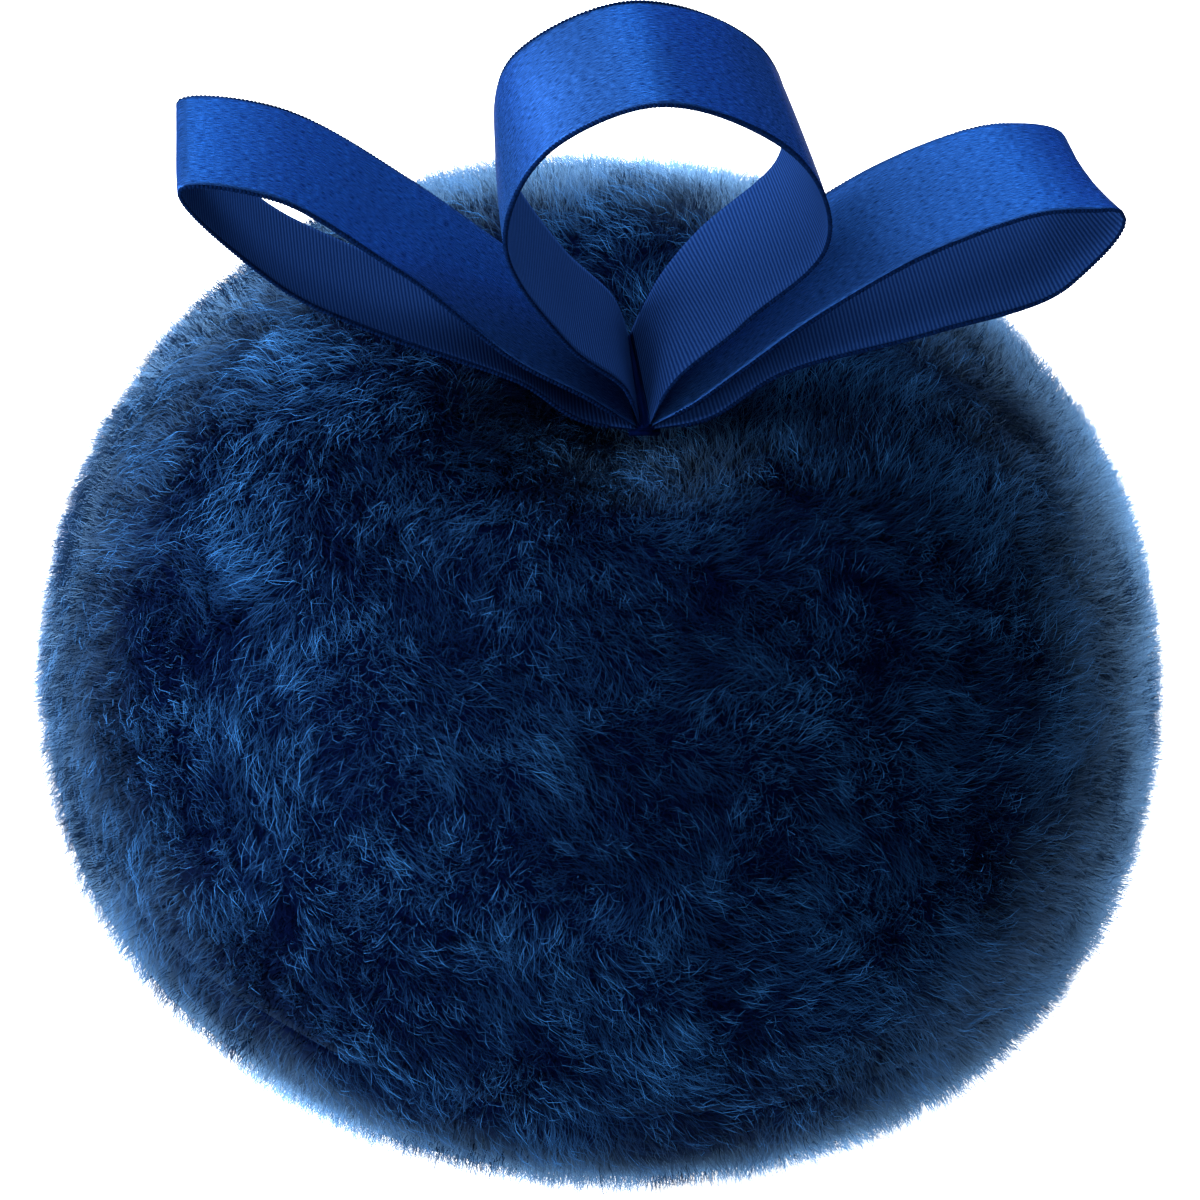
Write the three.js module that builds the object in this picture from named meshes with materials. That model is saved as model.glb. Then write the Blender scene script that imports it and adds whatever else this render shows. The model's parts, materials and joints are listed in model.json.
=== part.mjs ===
// Round plush powder puff with a three-loop satin ribbon bow as its grip.
// Millimetres, +Z up. The origin lies under the middle of the puff, on the flat that it rests on.
// X runs along the bow, from the left loop to the right one, and Y runs along its sewn foot.

import * as THREE from 'three';

const { MathUtils, Path, Shape, Vector2, Vector3 } = THREE;

// Puff: two plush panels sewn together round the rim, right sides out
const puffDiameter = 86;
const faceDepth = 22;
const crownHeight = 36.3;
const restFlatDepth = 0.5;
const pileHeight = 4;
const backingThickness = 0.8;
const roundness = 2.5;

// Tuft: the hollow that the bow's thread pulls into the crown
const tuftDepth = 5.3;
const tuftSpread = 12;

// Rim seam, turned inside
const seamAllowance = 4;
const seamGap = 0.3;
const seamNotch = 0.6;
const seamThreadDiameter = 0.7;
const seamThreadClearance = 0.2;

// Filling and tack thread
const fillingClearance = 0.3;
const tackDiameter = 2.2;
const tackHoleClearance = 0.3;
const knotDiameter = 4.4;
const knotHeight = 1.8;
const knotClearance = 0.3;

// Ribbon bow
const ribbonWidth = 10;
const ribbonThickness = 0.3;
const footRadius = 2;
const footBase = 0.5;
const footRise = 2;
const footClearance = 0.3;
const footStretch = 4.6;
const footValleyShare = 0.7;
const middleLoopHeight = 33.2;
const leftLoopReach = 34.3;
const rightLoopReach = 32;

// Steps round a turned piece, down its wall outside and inside, across the tuft's hollow outside
// and inside, along a loop and round a thread
const turnSteps = 48;
const wallSteps = 9;
const innerWallSteps = 5;
const tuftSteps = 6;
const innerTuftSteps = 3;
const loopSteps = 44;
const threadSteps = 8;

// How many spreads out from the axis the closer tuft steps reach, and how far round its dome, in
// degrees from the axis, an inside wall runs before it meets the seam
const tuftReachInSpreads = 1.6;
const innerWallTurn = 72;

// Heights that follow from the sizes above
const puffRadius = puffDiameter / 2;
const panelThickness = pileHeight + backingThickness;
const rimHeight = faceDepth - restFlatDepth;
const tuftFloor = rimHeight + crownHeight - tuftDepth;
const footHeight = tuftFloor + footRise;
const innerRadius = puffRadius - panelThickness;
const innerDepth = faceDepth - panelThickness;
const innerCrown = crownHeight - panelThickness;
const tackHoleRadius = tackDiameter / 2 + tackHoleClearance;
const tuftReach = tuftReachInSpreads * tuftSpread;
const innerWallEnd = innerRadius * Math.sin(MathUtils.degToRad(innerWallTurn));

// How far the angle of each ribbon end stands above +X, round the foot
const footAngles = {
  right_loop: [13, 38],
  middle_loop: [113, 67],
  left_loop: [167, 142],
};

// Each loop's middle line between its straight ends at the foot: along X, along Y and up from
// the foot, as shares of the loop's own size
const middleLoopShares = [
  [-0.19, -0.02, 0.285],
  [-0.35, -0.04, 0.58],
  [-0.32, -0.06, 0.86],
  [-0.09, -0.06, 1],
  [0.22, -0.01, 0.83],
  [0.325, 0.03, 0.51],
  [0.165, 0.03, 0.285],
];
const rightLoopShares = [
  [0.31, 0.02, 0.15],
  [0.65, 0.03, 0.265],
  [0.92, 0.055, 0.37],
  [1, 0.09, 0.52],
  [0.84, 0.08, 0.565],
  [0.565, 0.055, 0.465],
  [0.285, 0.03, 0.25],
];
const leftLoopShares = [
  [-0.28, 0.02, 0.13],
  [-0.58, 0.04, 0.25],
  [-0.81, 0.06, 0.385],
  [-1, 0.08, 0.62],
  [-0.8, 0.07, 0.605],
  [-0.53, 0.045, 0.43],
  [-0.275, 0.02, 0.21],
];

// How the ribbon lies across its middle line at each of those places, in degrees: turned about Z
// away from Y, and tipped up at its far edge. The first and last rows are the ends at the foot.
const middleLoopLay = [
  [-2, 0], [-5, 2], [-4, 3], [5, 6], [4, 7], [8, 10], [11, 4], [11, 4], [1, 1],
];
const rightLoopLay = [
  [-2, 0], [-4, 0], [-4, 1], [4, 2], [20, 0], [18, 0], [12, 1], [7, 2], [-2, 0],
];
const leftLoopLay = [
  [-2, 0], [-1, 0], [-1, -2], [0, -1], [-4, -1], [-7, 0], [-8, 2], [-10, 6], [-2, 0],
];

const plush = new THREE.MeshStandardMaterial({ color: 0x14305f, roughness: 0.95, metalness: 0 });
const plushBack = new THREE.MeshStandardMaterial({ color: 0x1d3f74, roughness: 0.95, metalness: 0 });
const fibre = new THREE.MeshStandardMaterial({ color: 0xf2f1ec, roughness: 1, metalness: 0 });
const satin = new THREE.MeshStandardMaterial({ color: 0x12358f, roughness: 0.35, metalness: 0 });
const thread = new THREE.MeshStandardMaterial({ color: 0x0c1c45, roughness: 0.7, metalness: 0 });

// Height of a rounded dome over its widest circle at a given distance from the axis
function domeHeight(distance, radius, height) {
  const reach = Math.min(distance / radius, 1);
  return height * (1 - reach ** roundness) ** (1 / roundness);
}

// Depth of the tuft's hollow at a given distance from the axis
function tuftHollow(distance) {
  return tuftDepth * Math.exp(-((distance / tuftSpread) ** 2));
}

// Distances from the axis, from one to another: even ones, or even in angle round a dome
function evenSpread(from, to, steps) {
  return Array.from({ length: steps + 1 }, (_, step) => MathUtils.lerp(from, to, step / steps));
}

function roundSpread(radius, from, to, steps) {
  const startAngle = Math.asin(Math.min(from / radius, 1));
  const endAngle = Math.asin(Math.min(to / radius, 1));
  return evenSpread(startAngle, endAngle, steps).map((angle) => radius * Math.sin(angle));
}

// Distances from the middle of the crown out to its edge, closer together in the tuft's hollow
function crownSpread(radius, from, to, hollowSteps, roundSteps) {
  const hollow = evenSpread(from, tuftReach, hollowSteps);
  return [...hollow, ...roundSpread(radius, tuftReach, to, roundSteps).slice(1)];
}

const aboveRim = (distance, radius, height) => new Vector2(
  distance,
  rimHeight + domeHeight(distance, radius, height) - tuftHollow(distance),
);
const belowRim = (distance, radius, height) => new Vector2(
  distance,
  rimHeight - domeHeight(distance, radius, height),
);

// A piece turned about the Z axis from a profile of distance and height
function turned(profile, steps = turnSteps) {
  return new THREE.LatheGeometry(profile, steps).rotateX(Math.PI / 2);
}

function named(name, geometry, material) {
  const mesh = new THREE.Mesh(geometry, material);
  mesh.name = name;
  return mesh;
}

// Both panels turn in at the rim. Their allowances lie back to back, and the notch between their
// edges holds the seam's thread.
const allowanceEdge = innerRadius - seamAllowance;
const seamThreadRadius = seamThreadDiameter / 2;
const seamThreadSeat = (seamThreadRadius + seamThreadClearance) * Math.SQRT2;
const seamThreadCentre = allowanceEdge + seamGap / 2 + seamNotch - seamThreadSeat;
const seamHalfHeight = seamGap / 2 + seamNotch + backingThickness;

function turnedInEdge(side, innerHeight) {
  const edge = (distance, offset) => new Vector2(distance, rimHeight + side * (seamGap / 2 + offset));
  const fall = (seamHalfHeight / innerHeight) ** roundness;
  const wallDistance = innerRadius * (1 - fall) ** (1 / roundness);
  return [
    edge(puffRadius, 0),
    edge(allowanceEdge + seamNotch, 0),
    edge(allowanceEdge, seamNotch),
    edge(allowanceEdge, seamNotch + backingThickness),
    edge(wallDistance, seamNotch + backingThickness),
  ];
}

// The rest flat reaches out to where the face has risen by the flat's depth
const restFlatRadius = puffRadius
  * (1 - ((faceDepth - restFlatDepth) / faceDepth) ** roundness) ** (1 / roundness);

function facePanel() {
  const outside = roundSpread(puffRadius, restFlatRadius, puffRadius, wallSteps + tuftSteps)
    .map((distance) => belowRim(distance, puffRadius, faceDepth));
  const inside = roundSpread(innerRadius, innerWallEnd, 0, innerWallSteps + innerTuftSteps)
    .map((distance) => belowRim(distance, innerRadius, innerDepth));
  outside.pop();
  return turned([new Vector2(0, 0), ...outside, ...turnedInEdge(-1, innerDepth), ...inside]);
}

function backPanel() {
  const inside = crownSpread(innerRadius, tackHoleRadius, innerWallEnd, innerTuftSteps, innerWallSteps)
    .map((distance) => aboveRim(distance, innerRadius, innerCrown));
  const outside = crownSpread(puffRadius, tackHoleRadius, puffRadius, tuftSteps, wallSteps)
    .map((distance) => aboveRim(distance, puffRadius, crownHeight));
  outside.pop();
  return turned([...inside, ...turnedInEdge(1, innerCrown).reverse(), ...outside.reverse(), inside[0]]);
}

// The knot lies under the back panel, in a pocket of the filling
const knotTop = aboveRim(0, innerRadius, innerCrown).y - knotClearance;
const knotBase = knotTop - knotHeight;
const pocketRadius = knotDiameter / 2 + knotClearance;

function filling() {
  const radius = innerRadius - fillingClearance;
  const waist = seamThreadCentre - seamThreadRadius - fillingClearance;
  const waistHalf = seamHalfHeight + fillingClearance;
  const shoulder = innerWallEnd - fillingClearance;
  const under = roundSpread(radius, 0, shoulder, innerWallSteps + innerTuftSteps)
    .map((distance) => belowRim(distance, radius, innerDepth - fillingClearance));
  const over = crownSpread(radius, pocketRadius, shoulder, innerTuftSteps, innerWallSteps)
    .map((distance) => aboveRim(distance, radius, innerCrown - fillingClearance));
  return turned([
    ...under,
    new Vector2(shoulder, rimHeight - waistHalf),
    new Vector2(waist, rimHeight - waistHalf),
    new Vector2(waist, rimHeight + waistHalf),
    new Vector2(shoulder, rimHeight + waistHalf),
    ...over.reverse(),
    new Vector2(pocketRadius, knotBase - knotClearance),
    new Vector2(0, knotBase - knotClearance),
  ]);
}

function seamThread() {
  const profile = [];
  for (let step = 0; step <= threadSteps; step += 1) {
    const angle = (step / threadSteps) * 2 * Math.PI;
    const distance = seamThreadCentre + seamThreadRadius * Math.cos(angle);
    profile.push(new Vector2(distance, rimHeight + seamThreadRadius * Math.sin(angle)));
  }
  return turned(profile);
}

// The tack thread: a wound shank from the bow's foot down through the panel, with its knot inside
function tackThread() {
  const knot = new Path();
  knot.absellipse(0, (knotTop + knotBase) / 2, knotDiameter / 2, knotHeight / 2, -Math.PI / 2, 0);
  const shankRadius = tackDiameter / 2;
  return turned([
    ...knot.getPoints(threadSteps / 2),
    new Vector2(shankRadius, knotTop),
    new Vector2(shankRadius, footHeight - footBase - footClearance),
    new Vector2(0, footHeight - footBase - footClearance),
  ], threadSteps * 2);
}

// The foot: the folds of the ribbon pinched together, with a pleat under the end of each strand
function ribbonFoot() {
  const angles = Object.values(footAngles).flat().sort((a, b) => a - b);
  const place = (angle, radius) => new Vector2(
    radius * Math.cos(MathUtils.degToRad(angle)),
    radius * Math.sin(MathUtils.degToRad(angle)),
  );
  const outline = [new Vector2(-footRadius, -footBase), new Vector2(footRadius, -footBase)];
  angles.forEach((angle, index) => {
    const half = MathUtils.radToDeg(ribbonThickness / footRadius);
    outline.push(place(angle - half, footRadius), place(angle + half, footRadius));
    if (index < angles.length - 1) {
      outline.push(place((angle + angles[index + 1]) / 2, footRadius * footValleyShare));
    }
  });
  return new THREE.ExtrudeGeometry(new Shape(outline), { depth: ribbonWidth, bevelEnabled: false })
    .rotateX(Math.PI / 2)
    .translate(0, ribbonWidth / 2, footHeight);
}

// A loop of flat ribbon: its middle line, and the direction across it at each step of the way
function ribbonLoop(name, size, shares, lay) {
  const foot = new Vector3(0, 0, footHeight);
  const [firstWay, lastWay] = footAngles[name].map((angle) => {
    const turn = MathUtils.degToRad(angle);
    return new Vector3(Math.cos(turn), 0, Math.sin(turn));
  });
  const from = (way, distance) => way.clone().multiplyScalar(distance);
  const places = shares.map((share) => new Vector3(...share).multiplyScalar(size));
  const points = [
    from(firstWay, footRadius + footClearance),
    from(firstWay, footStretch),
    ...places,
    from(lastWay, footStretch),
    from(lastWay, footRadius + footClearance),
  ].map((point) => point.add(foot));
  const layAngles = [lay[0], ...lay, lay.at(-1)].map((row) => {
    const [turn, tip] = row.map(MathUtils.degToRad);
    return new Vector3(turn, tip, 0);
  });
  const middleLine = new THREE.CatmullRomCurve3(points);
  const layLine = new THREE.CatmullRomCurve3(layAngles);
  const corners = [];
  for (let step = 0; step <= loopSteps; step += 1) {
    const way = step / loopSteps;
    const centre = middleLine.getPoint(way);
    const tangent = middleLine.getTangent(way);
    const { x: turn, y: tip } = layLine.getPoint(way);
    const across = new Vector3(-Math.sin(turn), Math.cos(turn), Math.tan(tip));
    across.addScaledVector(tangent, -across.dot(tangent)).setLength(ribbonWidth / 2);
    const outward = new Vector3().crossVectors(tangent, across).setLength(ribbonThickness / 2);
    for (const [side, face] of [[1, 1], [-1, 1], [-1, -1], [1, -1]]) {
      corners.push(centre.clone().addScaledVector(across, side).addScaledVector(outward, face));
    }
  }
  const triangles = [0, 2, 1, 0, 3, 2];
  for (let step = 0; step < loopSteps; step += 1) {
    for (let side = 0; side < 4; side += 1) {
      const near = step * 4 + side;
      const nearNext = step * 4 + (side + 1) % 4;
      triangles.push(near, nearNext + 4, near + 4, near, nearNext, nearNext + 4);
    }
  }
  const last = loopSteps * 4;
  triangles.push(last, last + 1, last + 2, last, last + 2, last + 3);
  const geometry = new THREE.BufferGeometry().setFromPoints(corners);
  geometry.setIndex(triangles);
  geometry.computeVertexNormals();
  return geometry;
}

const puff = new THREE.Group();
puff.add(
  named('face_panel', facePanel(), plush),
  named('back_panel', backPanel(), plushBack),
  named('fibre_filling', filling(), fibre),
  named('rim_seam_thread', seamThread(), thread),
  named('tack_thread', tackThread(), thread),
);

const bow = new THREE.Group();
bow.add(
  named('ribbon_foot', ribbonFoot(), satin),
  named('middle_loop', ribbonLoop('middle_loop', middleLoopHeight, middleLoopShares, middleLoopLay), satin),
  named('right_loop', ribbonLoop('right_loop', rightLoopReach, rightLoopShares, rightLoopLay), satin),
  named('left_loop', ribbonLoop('left_loop', leftLoopReach, leftLoopShares, leftLoopLay), satin),
);

const powderPuff = new THREE.Group();
powderPuff.add(puff, bow);

export default powderPuff;
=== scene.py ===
import json
import math

import bpy
import numpy as np
from mathutils import Matrix, Vector, noise


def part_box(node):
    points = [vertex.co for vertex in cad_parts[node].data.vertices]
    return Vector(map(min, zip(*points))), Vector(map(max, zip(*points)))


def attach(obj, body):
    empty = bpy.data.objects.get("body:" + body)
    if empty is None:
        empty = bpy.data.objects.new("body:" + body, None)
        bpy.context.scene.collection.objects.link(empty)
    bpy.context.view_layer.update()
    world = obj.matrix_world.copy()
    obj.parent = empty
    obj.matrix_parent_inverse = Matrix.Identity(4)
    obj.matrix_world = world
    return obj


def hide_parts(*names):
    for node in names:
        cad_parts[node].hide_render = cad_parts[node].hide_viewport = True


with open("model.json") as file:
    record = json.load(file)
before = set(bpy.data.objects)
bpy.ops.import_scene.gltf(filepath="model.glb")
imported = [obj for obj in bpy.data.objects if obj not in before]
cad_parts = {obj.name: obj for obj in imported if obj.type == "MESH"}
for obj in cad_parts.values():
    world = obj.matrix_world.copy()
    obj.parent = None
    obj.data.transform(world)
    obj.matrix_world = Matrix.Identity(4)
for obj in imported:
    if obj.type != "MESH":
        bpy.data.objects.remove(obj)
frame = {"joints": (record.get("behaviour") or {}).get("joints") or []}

bl_info = {
    "name": "Plush Powder Puff",
    "version": (1, 0, 0),
    "blender": (4, 5, 0),
    "location": "3D Viewport > Sidebar > Powder Puff",
    "description": "Dresses a plush powder puff and its three-loop satin ribbon bow",
    "category": "Add Mesh",
}

BODY_OF_LOOP = {"middle_loop": "middle", "right_loop": "right", "left_loop": "left"}

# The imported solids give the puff's own sizes: its radius, and the height of its rim seam
FACE_HIGH = Vector(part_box("face_panel")[1])
BACK_LOW, BACK_HIGH = (Vector(corner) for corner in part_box("back_panel"))
PUFF_RADIUS = BACK_HIGH.x
RIM_HEIGHT = (BACK_LOW.z + FACE_HIGH.z) / 2
BOW_AXIS = Vector(frame["joints"][0]["pos_m"])

# Half the gap between the two panels' backings at the rim, and how far the dense ground goes on
# inwards and past the seam there, inside the other panel's
SEAM_GAP_HALF = 0.00015
GROUND_LAP_IN, GROUND_LAP_OVER = 0.0002, 0.0006

# Widths of the partings in the pile, and how far they raise it, as a share of its height
WIDE_PARTING, FINE_PARTING, PARTING_SHARE = 0.008, 0.0036, 0.07

# Where the bow presses the pile: half the width at the foot, how much wider that gets further
# out, how far out it goes, how softly it starts, and how deep, as a share of the pile's height
PRESSED_HALF_WIDTH, PRESSED_FLARE_SHARE, PRESSED_REACH = 0.014, 0.25, 0.038
PRESSED_EDGE, PRESSED_SHARE = 0.006, 0.08

# Distance from the axis within which the pile still stands up, and the size of the combing's
# finer turns as a share of the swirls
STANDING_RADIUS, FINE_SWIRL_SHARE = 0.02, 0.42

# Fibres stay this far over the table
TABLE_GAP = 0.00005

# The pale bloom of pile seen edge on
BLOOM_COLOUR = "#80b4ea"

# Distances from the axis between which the painted shade round the bow's foot fades out of the
# pile's sheen
FOOT_SHADE_NEAR, FOOT_SHADE_FAR = 0.004, 0.024

# Real distances in the cloths' patterns, and the length of one wave of the wave pattern at scale 1
FELT_WIDTH, COURSE_PITCH, WAVE_LENGTH = 0.0002, 0.0006, 0.314159
BUMP_DEPTH = 0.0001

# The ribbon: how far its cloth stops short of its width, how much it cups and sways, and how
# thin its ends are in the fold, as a share, and how fast it gets its full thickness from there
EDGE_INSET, RIBBON_CUP, RIBBON_SWAY = 0.0001, 0.00012, 0.00022
THIN_END_SHARE, THIN_END_RATE = 0.35, 14

# The selvedge's small loops: their width, how far they stand out from the cloth's edge and off
# its middle plane, and how many of the ribbon's frames have none at each end
BEAD_WIDTH, BEAD_OUT, BEAD_ASIDE, BARE_FRAMES = 0.00034, 0.00002, 0.00005, 5

# The foot: how far its ends stop short of the ribbon's edges, its base under the fold, and the
# fold's reach between pleats, how much more it has at a pleat, and a pleat's width in degrees
FOOT_INSET, FOOT_SHOULDER, FOOT_DEPTH, FOOT_FLARE_SHARE = 0.00003, 0.0002, 0.00048, 1.7
FOLD_SHARE, PLEAT_SHARE, PLEAT_WIDTH = 0.78, 0.34, 6

# Lumps in the fibre filling: their height, and their widths
LUMP_HEIGHT, LUMP_WIDTH, FINE_LUMP_WIDTH = 0.0012, 0.007, 0.0025

# The thread that holds the bow: the middle and half height of its knot over its own low end,
# where its shank starts, and the shank's radius and turns
KNOT_RISE, KNOT_HALF_HEIGHT = 0.0009, 0.00065
SHANK_START, SHANK_RADIUS, SHANK_TURNS = 0.0019, 0.0008, 14

# The table's half width, and the place that every light faces
TABLE_HALF_WIDTH = 3.0
LIGHT_AIM = Vector((0, 0, 0.03))

# How far the angle of each ribbon end stands above +X, round the foot, in degrees
FOOT_ANGLES = {"right_loop": (13, 35), "middle_loop": (113, 72), "left_loop": (167, 142)}

# Each loop's middle line between its straight ends at the foot: along X, along Y and up from the
# foot, as shares of the loop's own size
LOOP_SHARES = {
    "middle_loop": (
        (-0.19, -0.02, 0.285), (-0.35, -0.04, 0.58), (-0.32, -0.06, 0.86), (-0.09, -0.06, 1),
        (0.22, -0.01, 0.83), (0.325, 0.03, 0.51), (0.165, 0.03, 0.285),
    ),
    "right_loop": (
        (0.31, 0.02, 0.15), (0.65, 0.03, 0.265), (0.92, 0.055, 0.37), (1, 0.09, 0.52),
        (0.84, 0.08, 0.565), (0.565, 0.055, 0.465), (0.285, 0.03, 0.25),
    ),
    "left_loop": (
        (-0.28, 0.02, 0.125), (-0.58, 0.04, 0.238), (-0.81, 0.06, 0.373), (-1, 0.08, 0.62),
        (-0.8, 0.07, 0.605), (-0.53, 0.045, 0.43), (-0.275, 0.02, 0.21),
    ),
}

# How the ribbon lies across its middle line at each of those places, in degrees: turned about Z
# away from Y, and tipped up at its far edge. The first and last rows are the ends at the foot.
LOOP_LAY = {
    "middle_loop": ((-2, 0), (-5, 2), (-4, 3), (5, 6), (4, 7), (8, 10), (11, 4), (11, 4), (1, 1)),
    "right_loop": (
        (-2, 0), (-4, 0), (-4, 1), (4, 2), (20, 0), (18, 0), (12, 1), (7, 2), (-2, 0),
    ),
    "left_loop": (
        (-2, 0), (-1, -2), (-1, -6), (0, -5), (-4, -1), (-7, 0), (-8, 2), (-10, 6), (-2, 0),
    ),
}


def linear_colour(text):
    """An sRGB hex colour as a linear one with full opacity."""
    channels = [int(text[at:at + 2], 16) / 255 for at in (1, 3, 5)]
    linear = [c / 12.92 if c <= 0.04045 else ((c + 0.055) / 1.055) ** 2.4 for c in channels]
    return (*linear, 1.0)


def number(name, description, default, **more):
    return bpy.props.FloatProperty(name=name, description=description, default=default, **more)


def length(name, description, default):
    return number(name, description, default, unit="LENGTH", precision=5)


def degrees(name, description, value):
    return number(name, description, math.radians(value), subtype="ANGLE")


def colour(name, description, text):
    return bpy.props.FloatVectorProperty(
        name=name, description=description, default=linear_colour(text), size=4, subtype="COLOR",
        min=0, max=1,
    )


class PuffSettings(bpy.types.PropertyGroup):
    crown_height: length("Crown height", "Rim seam to the top of the crown before tufting", 0.0363)
    face_depth: length(
        "Face depth", "Rim seam down to the powdering face before it flattens", 0.022)
    tuft_depth: length("Tuft depth", "How far the bow's thread pulls the crown in", 0.0053)
    tuft_spread: length("Tuft spread", "How far the tuft's hollow reaches", 0.012)
    backing_thickness: length("Backing thickness", "Thickness of the knitted backing", 0.0008)
    filling_clearance: length("Filling clearance", "Gap left between backing and filling", 0.0003)
    pile_height: length("Pile height", "Backing to the tips of the pile", 0.004)
    ground_depth: length("Ground depth", "Tips of the pile down to its dense ground", 0.0011)
    fibre_length: length("Fibre length", "Height of the single fibres on that ground", 0.0016)
    fibre_width: length("Fibre width", "Width of one drawn fibre at its root", 0.000092)
    fibre_lean: length("Fibre lean", "How far a fibre's tip is combed sideways", 0.0018)
    fibre_curl: length("Fibre curl", "How strongly a fibre bows out along its length", 0.0024)
    swirl_size: length("Swirl size", "Distance over which the combing turns", 0.011)
    tuft_size: length("Tuft size", "Width of one tuft of fibres that cling together", 0.0021)
    roundness: number("Roundness", "Exponent of the puff's rounded outline", 2.5)
    tuft_pull: number("Tuft pull", "How far fibres close up to the middle of their tuft", 0.35,
                      subtype="FACTOR", min=0, max=1)
    fibres_per_gore: bpy.props.IntProperty(
        name="Fibres in a gore", description="Fibres drawn on each part of the pile", default=28500
    )
    comb_seed: bpy.props.IntProperty(
        name="Comb seed", description="Which way the pile happens to be brushed", default=3, min=1
    )
    # Painted shade: near-black for the deep pile at the fibres' roots, its dense ground and the
    # backing
    root_shade_colour: colour("Root colour", "Shaded roots of the pile", "#000104")
    fibre_colour: colour("Fibre colour", "Dyed fibre along its length", "#020620")
    # Painted highlight: the pale colour that the tips of single fibres take
    tip_highlight_colour: colour("Tip colour", "Fine pale tips that catch the light", "#2f67a6")
    filling_colour: colour("Filling colour", "Loose polyester fibre inside", "#f2f1ec")


class BowSettings(bpy.types.PropertyGroup):
    ribbon_width: length("Ribbon width", "Width of the ribbon", 0.01)
    ribbon_thickness: length("Ribbon thickness", "Thickness of the ribbon", 0.0003)
    middle_loop: length("Middle loop", "Height of the middle loop over the foot", 0.0332)
    right_loop: length("Right loop", "Reach of the right loop from the foot", 0.032)
    left_loop: length("Left loop", "Reach of the left loop from the foot", 0.0343)
    fold_radius: length("Fold radius", "Where a strand leaves the foot's fold", 0.0007)
    straight_reach: length("Straight reach", "How far a strand runs straight at the foot", 0.0046)
    rib_pitch: length("Rib pitch", "Spacing of the ribs on the ribbon's inner face", 0.00029)
    bead_pitch: length("Selvedge pitch", "Spacing of the small loops along the selvedge", 0.0003)
    thread_width: length("Thread width", "Width of the sewing thread", 0.0004)
    satin_colour: colour("Satin colour", "Smooth outer face of the ribbon", "#1b3e78")
    # Partly the inner face's own duller colour, partly painted shade inside the loops
    rib_and_shade_colour: colour("Rib colour", "Duller ribbed inner face of the ribbon", "#132b58")
    selvedge_colour: colour("Selvedge colour", "Woven edge of the ribbon", "#0a1a4c")
    thread_colour: colour("Thread colour", "Sewing thread", "#0c1c45")


class StageSettings(bpy.types.PropertyGroup):
    azimuth: degrees("Azimuth", "Where the camera stands round the puff", -12)
    elevation: degrees("Elevation", "How high the camera stands over the table", 44)
    roll: degrees("Roll", "How far the camera is turned about its own line of sight", -7.05)
    distance: length("Distance", "Camera to the middle of the puff", 0.5)
    aim_height: length("Aim height", "Height of the point the camera looks at", 0.03235)
    aim_side: length("Aim side", "How far that point lies to the camera's right", -0.00073)
    focal_length: number("Focal length", "Lens on a sensor 36 mm wide, in mm", 198.6)
    floor_colour: colour("Floor colour", "Plain pale floor", "#f4f4f3")
    surroundings: number("Surroundings", "Brightness of the white surroundings", 0.36)
    ceiling_light: number("Ceiling light", "Power of the wide soft panel overhead, in watts", 44.0)
    top_light: number("Top light", "Power of the light behind the bow, in watts", 15.0)
    side_light: number("Side light", "Power of the light at the left, in watts", 23.0)
    back_light: number("Back light", "Power of the wide low panel behind, in watts", 12.0)
    table_glow: number("Table glow", "Brightness of the translucent table, lit from below", 1.3)
    front_light: number("Front light", "Power of the low fill light in front, in watts", 11.0)


def new_mesh(name, points, faces, links=()):
    mesh = bpy.data.meshes.new(name)
    mesh.from_pydata([tuple(point) for point in points], links, faces)
    mesh.update()
    return mesh


def wires(name, lines, closed=False):
    """A mesh of lines without faces, each through its own points; a closed one is alone."""
    points, links = [], []
    for line in lines:
        start = len(points)
        points += line
        links += [(at, at + 1) for at in range(start, len(points) - 1)]
    if closed:
        links.append((len(points) - 1, 0))
    return new_mesh(name, points, [], links)


def shown(name, mesh, materials=()):
    piece = bpy.data.objects.new(name, mesh)
    bpy.context.scene.collection.objects.link(piece)
    for material in materials:
        piece.data.materials.append(material)
    return piece


def add_node(tree, kind, settings=None, links=None):
    """Adds a node, sets its own settings, and links or sets its inputs by name or by number."""
    node = tree.nodes.new(kind)
    for name, value in (settings or {}).items():
        setattr(node, name, value)
    for key, value in (links or {}).items():
        socket = node.inputs[key]
        if isinstance(value, bpy.types.NodeSocket):
            tree.links.new(value, socket)
        else:
            socket.default_value = value
    return node


def new_material(name, pale, **surface):
    """A material with one surface shader; pale is its plain viewport colour."""
    material = bpy.data.materials.new(name)
    material.use_nodes = True
    material.diffuse_color = pale
    tree = material.node_tree
    tree.nodes.clear()
    shader = add_node(tree, "ShaderNodeBsdfPrincipled", links=surface)
    add_node(tree, "ShaderNodeOutputMaterial", links={"Surface": shader.outputs["BSDF"]})
    return material, tree, shader


def set_tree_inputs(modifier, values):
    """Sets a geometry modifier's inputs by their sockets' identifiers."""
    for item in modifier.node_group.interface.items_tree:
        if item.item_type == "SOCKET" and item.in_out == "INPUT" and item.name in values:
            modifier[item.identifier] = values[item.name]


def realised(source, tree, values, name):
    """Runs a node tree on an object and gives its result as a plain mesh; the source is removed."""
    modifier = source.modifiers.new(name, "NODES")
    modifier.node_group = tree
    set_tree_inputs(modifier, values)
    graph = bpy.context.evaluated_depsgraph_get()
    mesh = bpy.data.meshes.new_from_object(source.evaluated_get(graph), depsgraph=graph)
    mesh.name = name
    source.modifiers.remove(modifier)
    bpy.data.objects.remove(source)
    if not len(mesh.polygons):
        raise RuntimeError(f"{name} came out empty")
    for at in reversed(range(len(mesh.materials))):
        if mesh.materials[at] is None:
            mesh.materials.pop(index=at)
    return mesh


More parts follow.
